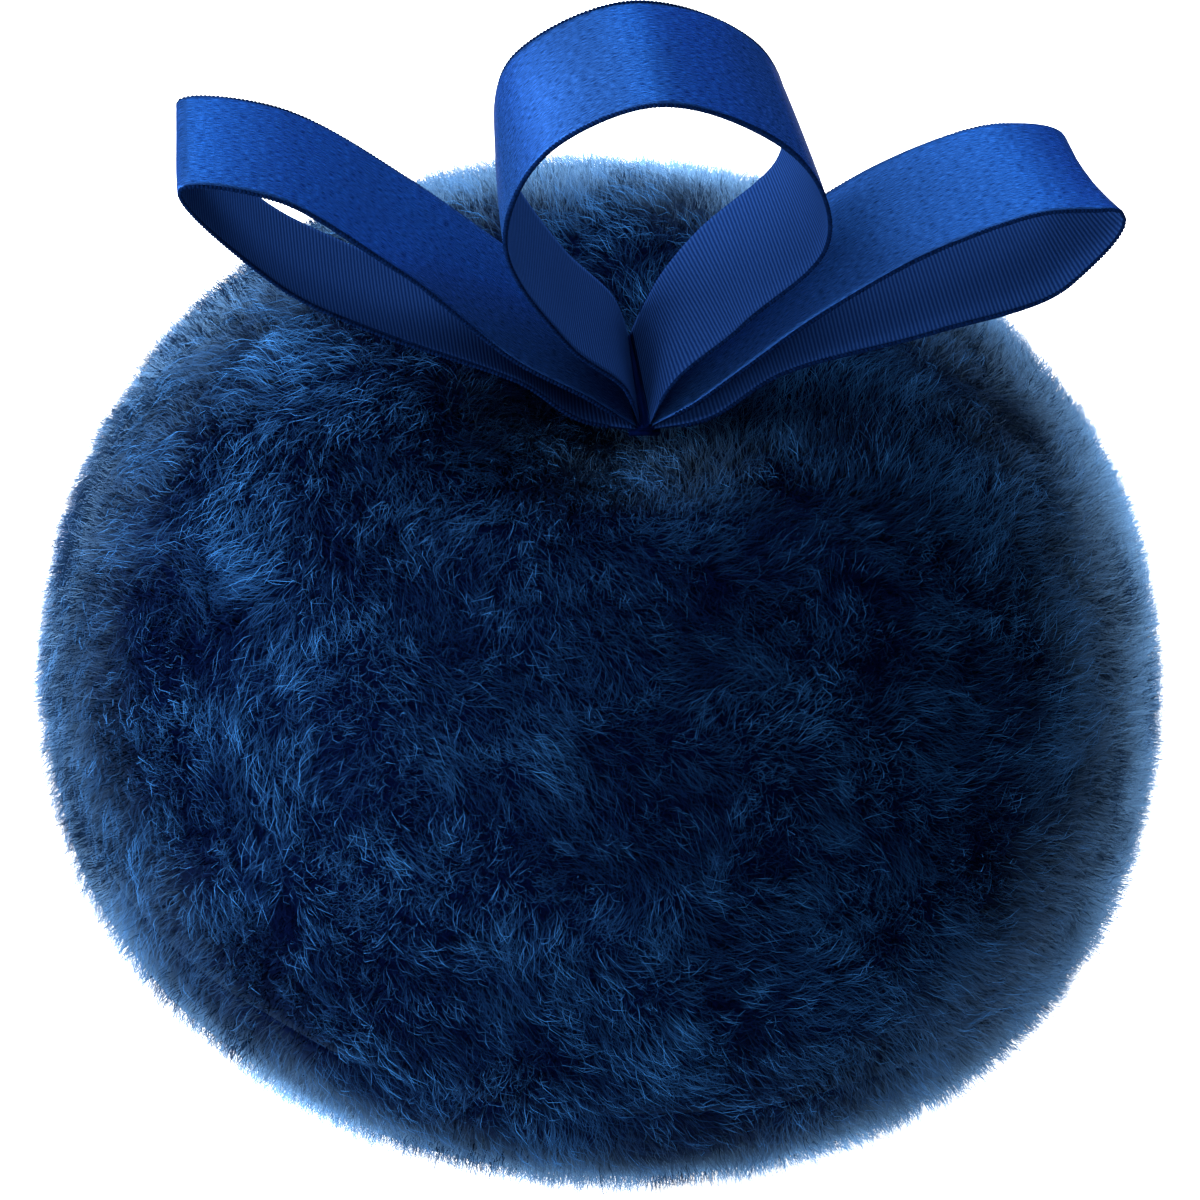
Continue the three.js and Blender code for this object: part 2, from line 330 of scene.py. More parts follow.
def new_tree(name, inputs, output):
    """A geometry node tree with named inputs and one output, and its inputs' values by name."""
    tree = bpy.data.node_groups.new(name, "GeometryNodeTree")
    for label, kind in inputs:
        tree.interface.new_socket(label, in_out="INPUT", socket_type=f"NodeSocket{kind}")
    tree.interface.new_socket(output, in_out="OUTPUT", socket_type="NodeSocketGeometry")
    return tree, dict(add_node(tree, "NodeGroupInput").outputs.items())


# The two kinds of node that work out sums
MATH, VECTOR = "ShaderNodeMath", "ShaderNodeVectorMath"


def work_out(tree, values, steps):
    """Adds a tree's sums in order, each from numbers or from values by name, and names each.

    A step is its result's name, its kind of node, its operation and its inputs.
    """
    for result, kind, operation, *inputs in steps:
        sockets = (0, "Scale") if operation == "SCALE" else range(len(inputs))
        links = {
            socket: values[given] if isinstance(given, str) else given
            for socket, given in zip(sockets, inputs)
        }
        node = add_node(tree, kind, {"operation": operation}, links)
        values[result] = node.outputs["Value" if operation == "LENGTH" else 0]


def even_curve(tree, line, spacing):
    """A line of edges as a curve with its points evenly spaced."""
    curve = add_node(tree, "GeometryNodeMeshToCurve", links={0: line})
    return add_node(tree, "GeometryNodeResampleCurve", {"mode": "LENGTH"},
                    {"Curve": curve.outputs[0], "Length": spacing}).outputs[0]


def end_tree(tree, shape, material):
    """Ends a tree with its shape made real, shaded smooth and given its material."""
    real = add_node(tree, "GeometryNodeRealizeInstances", links={0: shape})
    smooth = add_node(tree, "GeometryNodeSetShadeSmooth", links={0: real.outputs[0]})
    finish = add_node(tree, "GeometryNodeSetMaterial",
                      links={0: smooth.outputs[0], "Material": material})
    add_node(tree, "NodeGroupOutput", links={0: finish.outputs[0]})
    return tree


def patterned_material(name, pale, surface, shades, kind, settings, pattern,
                       uv_map="", stretch=None, spread_out=None, bump=0.0):
    """A material that goes from one shade to another by a pattern.

    The pattern is one node, its settings and its inputs, on the piece's own place or on a UV map,
    stretched or spread out where those are given, and it may raise the surface too.
    """
    material, tree, shader = new_material(name, pale, **surface)
    if uv_map:
        place = add_node(tree, "ShaderNodeUVMap", {"uv_map": uv_map}).outputs["UV"]
    else:
        place = add_node(tree, "ShaderNodeTexCoord").outputs["Object"]
    if stretch:
        place = add_node(tree, "ShaderNodeMapping",
                         links={"Vector": place, "Scale": stretch}).outputs[0]
    height = share = add_node(tree, kind, settings, {"Vector": place, **pattern}).outputs["Fac"]
    if spread_out:
        share = add_node(tree, "ShaderNodeMapRange",
                         links={"Value": share, **spread_out}).outputs[0]
    shade = add_node(tree, "ShaderNodeMix", {"data_type": "RGBA"}, {
        0: share, 6: shades[0], 7: shades[1],
    }).outputs[2]
    tree.links.new(shade, shader.inputs["Base Color"])
    if bump:
        raised = add_node(tree, "ShaderNodeBump", links={
            "Height": height, "Strength": bump, "Distance": BUMP_DEPTH,
        }).outputs[0]
        tree.links.new(raised, shader.inputs["Normal"])
    return material, tree, shader


# The puff's rounded shape

def dome(distance, radius, height, roundness):
    reach = np.clip(distance / radius, 0, 1)
    return height * (1 - reach ** roundness) ** (1 / roundness)


def hollow(distance, sizes):
    return sizes.tuft_depth * np.exp(-((distance / sizes.tuft_spread) ** 2))


def panel_height(side, distance, inset, sizes):
    """Height of a panel's surface, inset from the tips of the pile; side is 1 for the back."""
    radius = PUFF_RADIUS - inset
    if side > 0:
        crown = dome(distance, radius, sizes.crown_height - inset, sizes.roundness)
        return RIM_HEIGHT + crown - hollow(distance, sizes)
    return RIM_HEIGHT - dome(distance, radius, sizes.face_depth - inset, sizes.roundness)


def spread(radius, steps):
    """Distances from the axis to the rim, closer together where the dome is steep."""
    return radius * np.sin(np.linspace(0, math.pi / 2, steps + 1))


def panel_profile(side, inset, steps, sizes):
    """A panel's distances and heights from the axis out to the rim, inset from the pile's tips."""
    return [
        (distance, panel_height(side, distance, inset, sizes))
        for distance in spread(PUFF_RADIUS - inset, steps)
    ]


def turned(name, profile, start, end, steps):
    """A gore turned part of the way about Z, from distances and heights that start on the axis."""
    angles = np.linspace(start, end, steps + 1)
    points = [(0.0, 0.0, profile[0][1])]
    for distance, height in profile[1:]:
        points += [(distance * math.cos(a), distance * math.sin(a), height) for a in angles]
    count = len(angles)
    faces = []
    for step in range(steps):
        faces.append((0, 1 + step, 2 + step))
        for row in range(len(profile) - 2):
            low = 1 + row * count + step
            faces.append((low, low + count, low + count + 1, low + 1))
    return new_mesh(name, points, faces)


class POWDERPUFF_OT_panels(bpy.types.Operator):
    """Make the two plush panels' backing, sewn together round the rim"""

    bl_idname = "powder_puff.panels"
    bl_label = "Plush Panels"

    def execute(self, context):
        sizes = context.scene.powder_puff
        material = backing_material(sizes)
        ground_finish = ground_material(sizes)
        for node, side, slot in (("face_panel", -1, "plush_face"), ("back_panel", 1, "plush_back")):
            out = panel_profile(side, sizes.pile_height, 40, sizes)
            back = panel_profile(side, sizes.pile_height + sizes.backing_thickness, 40, sizes)
            for profile in (out, back):
                profile[-1] = (profile[-1][0], RIM_HEIGHT + side * SEAM_GAP_HALF)
            mesh = closed_shell(f"{node}_backing", out, back, side)
            dense = panel_profile(side, sizes.ground_depth, 100, sizes)
            dense.append((dense[-1][0] - GROUND_LAP_IN, RIM_HEIGHT - side * GROUND_LAP_OVER))
            ground = closed_shell(f"{node}_ground_pile", dense, out, side, 240)
            for vertex in ground.vertices:
                away = vertex.co - Vector((0, 0, RIM_HEIGHT))
                vertex.co += away.normalized() * swell(vertex.co, side, sizes)
            ground.update()
            for piece in (
                shown(mesh.name, mesh, [material]), shown(ground.name, ground, [ground_finish]),
            ):
                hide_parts(node)
                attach(piece, "puff")
        return {"FINISHED"}


def parting(place):
    """How far the pile stands up there in tufts a few millimetres wide, about -1 to 1."""
    wide = noise.noise(place / WIDE_PARTING + Vector((9, 4, 2)))
    fine = noise.noise(place / FINE_PARTING + Vector((1, 8, 3)))
    return wide * 0.8 + fine * 0.5


def swell(place, side, sizes):
    """How far the tips of the pile stand out there from the puff's rounded shape.

    The bow presses the back's pile down under its two side loops and round its foot.
    """
    along = abs(place.x)
    half_width = PRESSED_HALF_WIDTH + PRESSED_FLARE_SHARE * along
    inside = min(half_width - abs(place.y), PRESSED_REACH - along) if side > 0 else 0
    pressed = min(max(inside / PRESSED_EDGE, 0), 1)
    pressed = pressed * pressed * (3 - 2 * pressed)
    return sizes.pile_height * (PARTING_SHARE * parting(place) - PRESSED_SHARE * pressed)


def closed_shell(name, outside, inside, side, steps=120):
    """A bowl with a wall, turned from two profiles that start on the axis and meet at the rim."""
    profile = outside + inside[::-1]
    points, rings = [], []
    for distance, height in profile:
        if distance < 1e-9:
            rings.append([len(points)] * steps)
            points.append((0.0, 0.0, height))
        else:
            rings.append([len(points) + step for step in range(steps)])
            for step in range(steps):
                angle = 2 * math.pi * step / steps
                points.append((distance * math.cos(angle), distance * math.sin(angle), height))
    faces = []
    for near, far in zip(rings, rings[1:]):
        for step in range(steps):
            there = (step + 1) % steps
            corners = [near[step], far[step], far[there], near[there]]
            corners = [c for at, c in enumerate(corners) if c not in corners[:at]]
            faces.append(corners if side > 0 else corners[::-1])
    mesh = new_mesh(name, points, faces)
    mesh.shade_smooth()
    return mesh


# What a panel's surface tells the fibres that are sown on it, and what each fibre then keeps
BACKING_FIELDS = {"comb": "FLOAT_VECTOR", "nap": "FLOAT", "patch": "FLOAT"}
FIBRE_FIELDS = {
    "root": "FLOAT_VECTOR", "out": "FLOAT_VECTOR", "sweep": "FLOAT_VECTOR",
    "side": "FLOAT_VECTOR", "curl": "FLOAT_VECTOR", "facing": "FLOAT_VECTOR",
    "rise": "FLOAT", "tone": "FLOAT",
}


def combed_backing(name, side, start, end, sizes):
    """The outer face of a part of a panel, with how its pile is combed and pressed, and painted
    shade in its partings.
    """
    profile = panel_profile(side, sizes.fibre_length, 60, sizes)
    mesh = turned(name, profile, start, end, 90)
    if side < 0:
        mesh.flip_normals()
    mesh.update()
    count = len(mesh.vertices)
    fields = {"comb": np.zeros((count, 3)), "nap": np.zeros(count), "patch": np.zeros(count)}
    for vertex in mesh.vertices:
        place, normal = vertex.co, vertex.normal
        # Round the axis the pile stands up, and further out it is brushed round and down
        outward = Vector((place.x, place.y, 0))
        ramp = min(outward.length / STANDING_RADIUS, 1)
        down = outward.normalized() if side > 0 else Vector((0, 0, -1))
        wide = noise.noise_vector(place / sizes.swirl_size + Vector((3, 11, 7)))
        fine_size = sizes.swirl_size * FINE_SWIRL_SHARE
        fine = noise.noise_vector(place / fine_size + Vector((17, 5, 1)))
        around = Vector((-place.y, place.x, 0)).normalized()
        turn = (down * 0.45 + around * 0.5) * ramp + wide * 0.9 + fine * 1.2
        turn = turn - normal * turn.dot(normal)
        fields["comb"][vertex.index] = turn / max(turn.length, 1)
        fields["nap"][vertex.index] = sizes.fibre_length + swell(place, side, sizes)
        # Painted shade in the partings: the tone is lower where the pile is parted, higher where it
        # stands up
        fields["patch"][vertex.index] = min(max(0.45 + parting(place), 0), 1)
    for label, kind in BACKING_FIELDS.items():
        attribute = mesh.attributes.new(label, kind, "POINT")
        key = "vector" if kind == "FLOAT_VECTOR" else "value"
        attribute.data.foreach_set(key, fields[label].ravel())
    return mesh


def pile_tree():
    """Fibres on a backing: each is a flat tapered strip, bent from its root over to its tip.

    Its UV map holds the fibre's tone across and the way from root to tip along, for its colour.
    """
    tree, values = new_tree("Plush pile", (
        ("Backing", "Geometry"), ("Fibres per square metre", "Float"), ("Fibre width", "Float"),
        ("Fibre lean", "Float"), ("Fibre curl", "Float"), ("Tuft size", "Float"),
        ("Tuft pull", "Float"), ("Floor", "Float"), ("Seed", "Int"), ("Fibre finish", "Material"),
    ), "Pile")
    sown = add_node(tree, "GeometryNodeDistributePointsOnFaces", {"distribute_method": "RANDOM"}, {
        "Mesh": values["Backing"], "Density": values["Fibres per square metre"],
        "Seed": values["Seed"],
    }).outputs
    place = values["place"] = add_node(tree, "GeometryNodeInputPosition").outputs["Position"]
    values["normal"] = sown["Normal"]
    for label, kind in BACKING_FIELDS.items():
        values[label] = add_node(tree, "GeometryNodeInputNamedAttribute", {"data_type": kind},
                                 {"Name": label}).outputs["Attribute"]
    for label, least, most, seed in (
        ("chance", 0, 1, values["Seed"]), ("any way", -1, 1, 91), ("any bow", -1, 1, 57),
    ):
        values[label] = add_node(tree, "FunctionNodeRandomValue", {"data_type": "FLOAT_VECTOR"}, {
            0: (least, least, least), 1: (most, most, most), "Seed": seed,
        }).outputs[0]
    work_out(tree, values, (
        ("outward", VECTOR, "PROJECT", "any way", "normal"),
        ("stray", VECTOR, "SUBTRACT", "any way", "outward"),
        ("outward", VECTOR, "PROJECT", "any bow", "normal"),
        ("curl", VECTOR, "SUBTRACT", "any bow", "outward"),
        ("cells", MATH, "DIVIDE", 1.0, "Tuft size"),
    ))
    tuft = add_node(tree, "ShaderNodeTexVoronoi", {"feature": "F1"},
                    {"Vector": place, "Scale": values["cells"]}).outputs
    values["tuft"] = tuft["Position"]
    for source, labels in (
        (values["chance"], ("one", "two", "three")),
        (tuft["Color"], ("tuft one", "tuft two", "tuft three")),
    ):
        parts = add_node(tree, "ShaderNodeSeparateXYZ", links={0: source}).outputs
        values.update(zip(labels, parts))

    work_out(tree, values, (
        # Sideways reach of the tip: combed over, closed up to its tuft, and a little astray
        ("reach", MATH, "MULTIPLY_ADD", "one", 0.7, 0.45),
        ("reach", MATH, "MULTIPLY", "reach", "Fibre lean"),
        ("combed", VECTOR, "SCALE", "comb", "reach"),
        ("to tuft", VECTOR, "SUBTRACT", "tuft", "place"),
        ("to tuft", VECTOR, "SCALE", "to tuft", "Tuft pull"),
        ("astray", MATH, "MULTIPLY", "Fibre lean", 0.5),
        ("astray", VECTOR, "SCALE", "stray", "astray"),
        ("sweep", VECTOR, "ADD", "combed", "to tuft"),
        ("sweep", VECTOR, "ADD", "sweep", "astray"),
        # Each fibre also bows out sideways in the middle of its length
        ("curl", VECTOR, "SCALE", "curl", "Fibre curl"),
        # Height of the tip, from the nap there, the tuft and the fibre itself, and a few fibres
        # stand well clear of the rest
        ("tall", MATH, "MULTIPLY_ADD", "two", 0.4, 0.7),
        ("tall", MATH, "MULTIPLY_ADD", "tuft one", 0.1, "tall"),
        ("clear", MATH, "POWER", "two", 10.0),
        ("tall", MATH, "MULTIPLY_ADD", "clear", 0.4, "tall"),
        ("rise", MATH, "MULTIPLY", "tall", "nap"),
        # Direction across the strip: square to its lean, and rolled a little about its length
        ("side", VECTOR, "CROSS_PRODUCT", "sweep", "normal"),
        ("side", VECTOR, "NORMALIZE", "side"),
        ("roll", MATH, "MULTIPLY_ADD", "three", 1.6, -0.8),
        ("roll", VECTOR, "SCALE", "normal", "roll"),
        ("side", VECTOR, "ADD", "side", "roll"),
        ("side", VECTOR, "NORMALIZE", "side"),
        # Tone: how much painted highlight a fibre's tip takes: less in the partings, which is
        # painted shade, a random share from the tuft, and much more for a few fibres in some tufts
        ("pale", MATH, "POWER", "three", 6.0),
        ("pale", MATH, "MULTIPLY", "pale", "tuft three"),
        ("tone", MATH, "MULTIPLY_ADD", "patch", 0.3, -0.01),
        ("tone", MATH, "MULTIPLY_ADD", "tuft two", 0.12, "tone"),
        ("tone", MATH, "ADD", "pale", "tone"),
        ("tone", MATH, "MAXIMUM", "tone", 0.0),
        ("tone", MATH, "MINIMUM", "tone", 1.0),
        # Each fibre is shaded nearly as the puff's own surface is, leaning the way that it is
        # combed, so that the pile reads as one nap
        ("combed", VECTOR, "NORMALIZE", "sweep"),
        ("combed", VECTOR, "SCALE", "combed", 0.12),
        ("astray", VECTOR, "SCALE", "stray", 0.06),
        ("facing", VECTOR, "ADD", "astray", "normal"),
        ("facing", VECTOR, "ADD", "combed", "facing"),
        ("facing", VECTOR, "NORMALIZE", "facing"),
    ))
    values.update(root=place, out=values["normal"])
    points = sown["Points"]
    for label, kind in FIBRE_FIELDS.items():
        points = add_node(
            tree, "GeometryNodeStoreNamedAttribute", {"data_type": kind, "domain": "POINT"},
            {"Geometry": points, "Name": label, "Value": values[label]},
        ).outputs[0]

    strip = add_node(tree, "GeometryNodeMeshGrid", links={
        "Size X": 1.0, "Size Y": 1.0, "Vertices X": 2, "Vertices Y": 4,
    })
    blade = add_node(tree, "GeometryNodeStoreNamedAttribute",
                     {"data_type": "FLOAT_VECTOR", "domain": "POINT"},
                     {"Geometry": strip.outputs["Mesh"], "Name": "blade", "Value": place})
    sewn = add_node(tree, "GeometryNodeInstanceOnPoints",
                    links={"Points": points, "Instance": blade.outputs[0]})
    real = add_node(tree, "GeometryNodeRealizeInstances", links={"Geometry": sewn.outputs[0]})

    for label, kind in (*FIBRE_FIELDS.items(), ("blade", "FLOAT_VECTOR")):
        values[label] = add_node(tree, "GeometryNodeInputNamedAttribute", {"data_type": kind},
                                 {"Name": label}).outputs["Attribute"]
    parts = add_node(tree, "ShaderNodeSeparateXYZ", links={0: values["blade"]}).outputs
    values.update(zip(("across", "along"), parts))
    work_out(tree, values, (
        ("along", MATH, "ADD", "along", 0.5),
        ("squared", MATH, "MULTIPLY", "along", "along"),
        # The way up is 1.8 t - 0.8 t squared, and the way over 0.25 t + 0.75 t squared
        ("up", MATH, "MULTIPLY", "squared", -0.8),
        ("up", MATH, "MULTIPLY_ADD", "along", 1.8, "up"),
        ("up", MATH, "MULTIPLY", "up", "rise"),
        ("over", MATH, "MULTIPLY", "squared", 0.75),
        ("over", MATH, "MULTIPLY_ADD", "along", 0.25, "over"),
        ("bow", MATH, "SUBTRACT", "along", "squared"),
        # The strip narrows from its root to a tenth of its width
        ("taper", MATH, "MULTIPLY_ADD", "squared", 0.4, 1.0),
        ("taper", MATH, "MULTIPLY_ADD", "along", -1.3, "taper"),
        ("taper", MATH, "MULTIPLY", "taper", "across"),
        ("taper", MATH, "MULTIPLY", "taper", "Fibre width"),
        ("step", VECTOR, "SCALE", "out", "up"),
        ("path", VECTOR, "ADD", "root", "step"),
        ("step", VECTOR, "SCALE", "sweep", "over"),
        ("path", VECTOR, "ADD", "path", "step"),
        ("step", VECTOR, "SCALE", "curl", "bow"),
        ("path", VECTOR, "ADD", "path", "step"),
        ("step", VECTOR, "SCALE", "side", "taper"),
        ("path", VECTOR, "ADD", "path", "step"),
    ))
    parts = add_node(tree, "ShaderNodeSeparateXYZ", links={0: values["path"]}).outputs
    values.update(zip(("x", "y", "z"), parts))
    work_out(tree, values, (
        # Fibres that would pass the table lie flat on it
        ("z", MATH, "MAXIMUM", "z", "Floor"),
        # The UV map: a narrow column for each tone, with a small margin all round
        ("u", MATH, "ADD", "across", 0.5),
        ("u", MATH, "MULTIPLY_ADD", "u", 0.012, 0.004),
        ("u", MATH, "MULTIPLY_ADD", "tone", 0.98, "u"),
        ("v", MATH, "MULTIPLY_ADD", "along", 0.98, 0.01),
    ))
    path, uv = (
        add_node(tree, "ShaderNodeCombineXYZ",
                 links={at: values[label] for at, label in enumerate(labels)}).outputs[0]
        for labels in (("x", "y", "z"), ("u", "v"))
    )
    bent = add_node(tree, "GeometryNodeSetPosition",
                    links={"Geometry": real.outputs[0], "Position": path})
    mapped = add_node(tree, "GeometryNodeStoreNamedAttribute",
                      {"data_type": "FLOAT2", "domain": "CORNER"},
                      {"Geometry": bent.outputs[0], "Name": "OFBake", "Value": uv})
    smooth = add_node(tree, "GeometryNodeSetShadeSmooth", links={0: mapped.outputs[0]})
    shaded = add_node(tree, "GeometryNodeSetMeshNormal", {"mode": "FREE", "domain": "POINT"},
                      {"Mesh": smooth.outputs[0], "Custom Normal": values["facing"]})
    finish = add_node(tree, "GeometryNodeSetMaterial",
                      links={"Geometry": shaded.outputs[0], "Material": values["Fibre finish"]})
    add_node(tree, "NodeGroupOutput", links={0: finish.outputs[0]})
    return tree


class POWDERPUFF_OT_pile(bpy.types.Operator):
    """Sow the plush pile on both panels, in gores so that each stays a manageable mesh"""

    bl_idname = "powder_puff.pile"
    bl_label = "Plush Pile"

    def execute(self, context):
        sizes = context.scene.powder_puff
        noise.seed_set(sizes.comb_seed)
        material = pile_material(sizes)
        tree = pile_tree()
        coarse = 1
        for node, side, gores, slot in (
            ("face_panel", -1, 3, "plush_face"), ("back_panel", 1, 6, "plush_back"),
        ):
            for gore in range(gores):
                name = f"{node}_pile_{gore + 1}"
                turn = 2 * math.pi / gores
                mesh = combed_backing(name, side, gore * turn, (gore + 1) * turn, sizes)
                area = sum(face.area for face in mesh.polygons)
                pile = realised(shown(name + "_source", mesh), tree, {
                    "Fibres per square metre": sizes.fibres_per_gore // coarse / area,
                    "Fibre width": sizes.fibre_width * coarse,
                    "Fibre lean": sizes.fibre_lean,
                    "Fibre curl": sizes.fibre_curl,
                    "Tuft size": sizes.tuft_size,
                    "Tuft pull": sizes.tuft_pull,
                    "Floor": TABLE_GAP,
                    "Seed": 7 * gore + (40 if side > 0 else 0),
                    "Fibre finish": material,
                }, name)
                for label in (*BACKING_FIELDS, *FIBRE_FIELDS, "blade"):
                    if label in pile.attributes:
                        pile.attributes.remove(pile.attributes[label])
                piece = shown(name, pile)
                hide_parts(node)
                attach(piece, "puff")
        return {"FINISHED"}


def bloom(tree):
    """How strongly the pile's tips show pale: hardly from above, and fully where seen edge on.

    Round the bow's foot, where the pile is pressed into the tuft's hollow, painted shade halves the
    sheen.
    """
    edge_on = add_node(tree, "ShaderNodeLayerWeight", links={"Blend": 0.5}).outputs["Facing"]
    values = {"place": add_node(tree, "ShaderNodeTexCoord").outputs["Object"]}
    values["edge on"] = add_node(tree, "ShaderNodeMapRange", links={
        "Value": edge_on, "From Min": 0.33, "From Max": 1.0,
    }).outputs[0]
    work_out(tree, values, (
        ("pale", MATH, "POWER", "edge on", 1.25),
        ("level", VECTOR, "MULTIPLY", "place", (1, 1, 0)),
        ("from axis", VECTOR, "LENGTH", "level"),
    ))
    # Painted shade: the sheen is halved near the bow's foot and grows to full further out
    values["open pile"] = add_node(
        tree, "ShaderNodeMapRange", {"interpolation_type": "SMOOTHSTEP"}, {
            "Value": values["from axis"], "From Min": FOOT_SHADE_NEAR, "From Max": FOOT_SHADE_FAR,
            "To Min": 0.5,
        }).outputs[0]
    work_out(tree, values, (("bloom", MATH, "MULTIPLY", "pale", "open pile"),))
    return values["bloom"]


def pile_material(sizes):
    # Polyester plush pile, piece dyed and brushed: painted shade darkens each fibre towards its
    # root, a painted highlight lightens the tips of single fibres, and a soft pale bloom of sheen
    # shows where it is seen edge on
    material, tree, shader = new_material(
        "Brushed polyester plush pile", sizes.fibre_colour,
        **{"Roughness": 0.8, "IOR": 1.5, "Specular IOR Level": 0.0, "Sheen Roughness": 0.4,
           "Sheen Tint": linear_colour(BLOOM_COLOUR)},
    )
    tree.links.new(bloom(tree), shader.inputs["Sheen Weight"])
    uv = add_node(tree, "ShaderNodeUVMap", {"uv_map": "OFBake"}).outputs["UV"]
    tone, way, _ = add_node(tree, "ShaderNodeSeparateXYZ", links={0: uv}).outputs
    from_root = add_node(tree, "ShaderNodeMapRange", {"interpolation_type": "SMOOTHSTEP"}, {
        "Value": way, "From Min": 0.1, "From Max": 0.75,
    }).outputs[0]
    values = {"tone": tone, "from root": from_root}
    work_out(tree, values, (
        ("pale", MATH, "MULTIPLY", "from root", "tone"),
        ("pale", MATH, "POWER", "pale", 1.5),
    ))
    # From the painted root shade to the dyed fibre, then to the painted highlight at the tips
    shade = sizes.root_shade_colour
    for share, lighter in ((from_root, sizes.fibre_colour), (values["pale"], sizes.tip_highlight_colour)):
        shade = add_node(tree, "ShaderNodeMix", {"data_type": "RGBA"}, {
            0: share, 6: shade, 7: lighter,
        }).outputs[2]
    tree.links.new(shade, shader.inputs["Base Color"])
    return material


def ground_material(sizes):
    # The lower part of the pile, too dense to see into: soft and felted, with a nap about 0.2 mm
    # across, dark with the painted shade of the roots, and the same pale bloom where it is seen
    # edge on
    material, tree, shader = patterned_material(
        "Dense ground of the plush pile", sizes.root_shade_colour,
        {"Roughness": 0.9, "Specular IOR Level": 0.0, "Sheen Roughness": 0.4,
         "Sheen Tint": linear_colour(BLOOM_COLOUR)},
        (sizes.root_shade_colour, sizes.fibre_colour),
        "ShaderNodeTexNoise", {}, {"Scale": 1 / FELT_WIDTH, "Detail": 2.0},
    )
    tree.links.new(bloom(tree), shader.inputs["Sheen Weight"])
    return material


def backing_material(sizes):
    # Warp-knitted polyester backing, dark with the pile's painted root shade: fine courses about
    # 0.6 mm apart
    return patterned_material(
        "Knitted polyester backing", sizes.root_shade_colour,
        {"Roughness": 0.9, "IOR": 1.5, "Specular IOR Level": 0.0},
        (sizes.root_shade_colour, linear_colour("#01061a")),
        "ShaderNodeTexWave", {"bands_direction": "Z"},
        {"Scale": WAVE_LENGTH / COURSE_PITCH, "Distortion": 2.0, "Detail": 1.0},
    )[0]


# The bow

def strand_points(name, sizes):
    """The places that a loop's middle line runs through, in metres."""
    size = getattr(sizes, name)
    ways = [
        Vector((math.cos(math.radians(angle)), 0, math.sin(math.radians(angle))))
        for angle in FOOT_ANGLES[name]
    ]
    places = [Vector(share) * size for share in LOOP_SHARES[name]]
    points = [
        ways[0] * sizes.fold_radius, ways[0] * sizes.straight_reach, *places,
        ways[1] * sizes.straight_reach, ways[1] * sizes.fold_radius,
    ]
    return [point + BOW_AXIS for point in points]


def curve_through(points, count):
    """Places along a centripetal curve through points, each with its way along the points."""
    ends = [points[0] * 2 - points[1], *points, points[-1] * 2 - points[-2]]
    found = []
    for step in range(count + 1):
        way = step / count * (len(points) - 1)
        at = min(int(way), len(points) - 2)
        share = way - at
        before, near, far, after = ends[at:at + 4]
        gaps = [math.sqrt((b - a).length) for a, b in ((before, near), (near, far), (far, after))]
        start = (near - before) / gaps[0] - (far - before) / (gaps[0] + gaps[1])
        start = (start + (far - near) / gaps[1]) * gaps[1]
        end = (far - near) / gaps[1] - (after - near) / (gaps[1] + gaps[2])
        end = (end + (after - far) / gaps[2]) * gaps[1]
        bend = (near - far) * 2 + start + end
        slope = (far - near) * 3 - start * 2 - end
        found.append((near + start * share + slope * share ** 2 + bend * share ** 3, way))
    return found


def strand_frames(name, sizes, count=180):
    """Evenly spaced frames along a loop: place, direction across, direction outwards."""
    points = strand_points(name, sizes)
    rows = LOOP_LAY[name]
    lay = [Vector((*row, 0)) for row in (rows[0], *rows, rows[-1])]
    fine = curve_through(points, 1200)
    places = np.array([tuple(place) for place, _ in fine])
    ways = np.array([way for _, way in fine])
    run = np.concatenate([[0], np.cumsum(np.linalg.norm(np.diff(places, axis=0), axis=1))])
    even = np.linspace(0, run[-1], count + 1)
    centres = np.stack([np.interp(even, run, places[:, axis]) for axis in range(3)], 1)
    along = np.interp(even, run, ways)
    tangents = np.gradient(centres, axis=0)
    tangents /= np.linalg.norm(tangents, axis=1, keepdims=True)
    frames = []
    for centre, tangent, way in zip(centres, tangents, along):
        at = min(int(way), len(lay) - 2)
        share = way - at
        share = share * share * (3 - 2 * share)
        turn, tip = (math.radians(a) for a in lay[at].lerp(lay[at + 1], share).xy)
        tangent = Vector(tangent)
        across = Vector((-math.sin(turn), math.cos(turn), math.tan(tip)))
        across = (across - tangent * across.dot(tangent)).normalized()
        frames.append((Vector(centre), across, tangent.cross(across).normalized()))
    return frames, float(run[-1])


